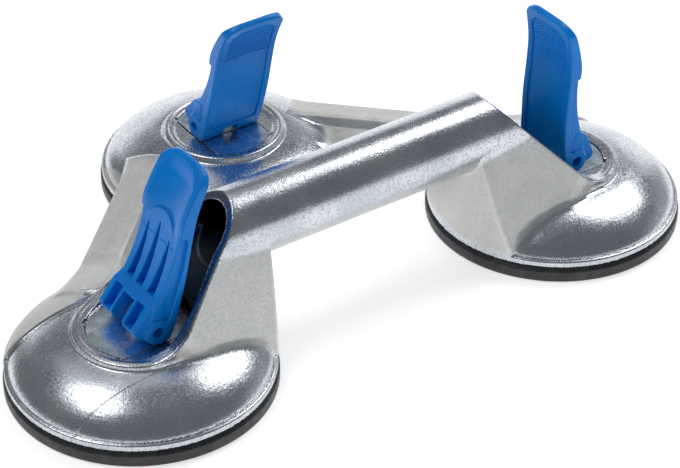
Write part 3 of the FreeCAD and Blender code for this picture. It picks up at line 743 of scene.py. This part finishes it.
CAST, BLUE, RUBBER = cast_aluminium(), blue_plastic(), black_rubber()
STEEL = plated("zinc_steel", (0.50, 0.51, 0.54), (0.66, 0.67, 0.69), 0.28, 0.42)
PIN = plated("ground_pin", (0.55, 0.55, 0.56), (0.70, 0.70, 0.70), 0.18, 0.30, True)
WIRE = plated("drawn_wire", (0.34, 0.34, 0.35), (0.46, 0.46, 0.47), 0.25, 0.38, True)
ZINC = plated("zinc_plate", (0.62, 0.72, 0.80), (0.78, 0.86, 0.92), 0.20, 0.34, True, 0.00003)


# ------------------------------------------------------------------ the pieces
def seat(ob, head, lift=0.0):
    x, y, turn = HEADS[head]
    ob.matrix_world = Matrix.Translation((x / 1000, y / 1000, lift / 1000)) @ Matrix.Rotation(math.radians(turn), 4, "Z")
    return ob


V, Q, N = keep_large(*mesh_of(casting, (-176, -118, 5.6), (176, 118, 81), 0.8))
# the third mask marks the pocket and bore for painted shade
matt, rim, dark = casting_finish(V, N)
body = new_object("casting", V, Q, N, [CAST], {"matt": matt, "rim": rim, "hollow": dark})
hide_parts("body_casting")
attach(body, "frame")

LV, LQ, LN = keep_large(*mesh_of(lever, (-9.5, -18, -8), (14, 18, 79), 0.42))
for h in HEADS:
    lift = (22.0 - LEAN[h]) * LIFT_PER_DEG
    ob = new_object("lever_" + h + "_moulding", LV, LQ, LN, [BLUE])
    x, y, turn = HEADS[h]
    ob.matrix_world = (Matrix.Translation((x / 1000, y / 1000, (PIN_Z + lift) / 1000)) @ Matrix.Rotation(math.radians(turn), 4, "Z")
                       @ Matrix.Rotation(math.radians(-LEAN[h]), 4, "Y"))
    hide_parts("lever_" + h)
    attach(ob, "lever_" + h)

    # rubber pad with a rounded lip and fine sealing grooves round the underside
    under = [(0, 0.8 + lift), (20, 0.8 + lift), (33.5, 0.8 + lift), (40.0, 0.8 + lift * 0.5), (47.0, 0.75), (48.4, 0.3), (49.2, 0.05), (49.6, 0.0)]
    for g in (51.6, 54.0, 56.4):
        under += [(g - 0.45, 0.0), (g - 0.2, 0.28), (g + 0.2, 0.28), (g + 0.45, 0.0)]
    side = [(58.7, 0.0), (59.3, 0.08), (59.75, 0.35), (59.95, 0.8), (60.0, 1.4), (60.0, 5.2), (59.9, 5.55), (59.6, 5.85), (58.2, 7.0), (57.6, 7.5), (57.2, 7.68)]
    top = [(56.0, 7.7), (48.0, 7.69), (33.5, 7.66), (20, 7.66), (0, 7.66)]
    prof = under + side + top
    pad = lathe("pad_" + h, prof, 192, [RUBBER])
    seat(pad, h)
    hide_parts("rubber_pad_" + h)
    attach(pad, "frame")

    # compression spring with closed, ground ends
    z0, z1, turns = 9.7 + lift + 0.95, 22.5 - 0.95, 4.6
    path = []
    for i in range(int(turns * 40) + 1):
        w = i / 40
        lead = w - 0.75 * (1 - math.exp(-w / 0.75))
        tail = (turns - w) - 0.75 * (1 - math.exp(-(turns - w) / 0.75))
        f = lead / (lead + tail) if lead + tail > 0 else 0
        path.append((12.4 * math.cos(2 * math.pi * w), 12.4 * math.sin(2 * math.pi * w), z0 + (z1 - z0) * f))
    spr = sweep("spring_" + h, path, 0.9, 12, [WIRE])
    seat(spr, h)
    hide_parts("release_spring_" + h)
    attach(spr, "frame")
    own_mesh(spr)

for h in HEADS:
    for nm, m, w in (("backing_plate", STEEL, 0.0004), ("centre_stud", STEEL, 0.0004), ("pivot_pin", PIN, 0.0), ("wear_plate", ZINC, 0.0003)):
        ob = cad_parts[nm + "_" + h]
        ob.data.materials.clear()
        ob.data.materials.append(m)
        if w:
            mod = ob.modifiers.new("edge", "BEVEL")
            mod.width = w
            mod.segments = 2
            mod.limit_method = "ANGLE"
            mod.angle_limit = math.radians(40)
            mod.harden_normals = False

# ------------------------------------------------------------------ studio
def plane(name, cx, cy, cz, sx, sy, mat=None):
    me = bpy.data.meshes.new(name)
    me.from_pydata([(-sx, -sy, 0), (sx, -sy, 0), (sx, sy, 0), (-sx, sy, 0)], [], [(0, 1, 2, 3)])
    if mat:
        me.materials.append(mat)
    ob = bpy.data.objects.new(name, me)
    bpy.context.scene.collection.objects.link(ob)
    ob.location = (cx, cy, cz)
    return ob


plane("floor", 0, 0, -0.0002, 6, 6, floor_material())


def area(name, loc, target, size, power, color=(1, 1, 1), size_y=None):
    d = bpy.data.lights.new(name, "AREA")
    d.shape = "RECTANGLE"
    d.size, d.size_y = size, size_y or size
    d.energy = power
    d.color = color
    ob = bpy.data.objects.new(name, d)
    bpy.context.scene.collection.objects.link(ob)
    ob.location = loc
    ob.rotation_mode = "QUATERNION"
    ob.rotation_quaternion = (Vector(target) - Vector(loc)).to_track_quat("-Z", "Y")
    return ob


def card(name, azimuth, elevation, dist, sx, sy, radiance, color=(1, 1, 1)):
    """A soft box seen from the object at that direction (azimuth from the front, toward +X)."""
    a, e = math.radians(azimuth), math.radians(elevation)
    d = (math.sin(a) * math.cos(e), -math.cos(a) * math.cos(e), math.sin(e))
    return area(name, [dist * q for q in d], (0, 0, 0.02), sx, radiance * math.pi * sx * sy, color, size_y=sy)


card("soft_left", -118, 66, 1.5, 0.75, 0.50, 4.2)
card("soft_right", 98, 50, 1.5, 0.60, 0.70, 4.6)
card("right_low", 85, 12, 1.9, 1.9, 0.7, 0.28, (0.96, 0.98, 1.0))
card("back_low", 150, 12, 2.0, 3.0, 0.9, 1.05)
card("back_high", 170, 62, 1.7, 1.2, 0.8, 0.5)

world = bpy.data.worlds.new("studio")
bpy.context.scene.world = world
world.use_nodes = True
wt = world.node_tree
wt.nodes.clear()
wo = wt.nodes.new("ShaderNodeOutputWorld")
wb = wt.nodes.new("ShaderNodeBackground")
wb.inputs["Color"].default_value = (0.90, 0.95, 1.0, 1)
wb.inputs["Strength"].default_value = 0.20
wt.links.new(wb.outputs[0], wo.inputs[0])

# ------------------------------------------------------------------ camera
az, el, roll = math.radians(-34.15), math.radians(35.53), math.radians(-0.16)
back = Vector((math.sin(az) * math.cos(el), -math.cos(az) * math.cos(el), math.sin(el)))
pos = Vector((0.00902, -0.00837, 0.0)) + back * 1.14995
fwd = -back
right = fwd.cross(Vector((0, 0, 1))).normalized()
up = right.cross(fwd)
r2 = math.cos(roll) * right + math.sin(roll) * up
u2 = -math.sin(roll) * right + math.cos(roll) * up
cam = bpy.data.cameras.new("camera")
cam.sensor_fit = "HORIZONTAL"
cam.sensor_width = 36.0
cam.lens = 2444.5 / 680.0 * 36.0
cam.shift_x = (340.0 - 314.1) / 680.0
cam.shift_y = -(234.0 - 231.98) / 680.0
cam.clip_start, cam.clip_end = 0.05, 50.0
co = bpy.data.objects.new("camera", cam)
bpy.context.scene.collection.objects.link(co)
M = Matrix.Identity(4)
for i in range(3):
    M[i][0], M[i][1], M[i][2], M[i][3] = r2[i], u2[i], back[i], pos[i]
co.matrix_world = M
bpy.context.scene.camera = co
bpy.context.scene.view_settings.view_transform = "Standard"
bpy.context.scene.view_settings.look = "None"
bpy.context.scene.view_settings.exposure = 0.0
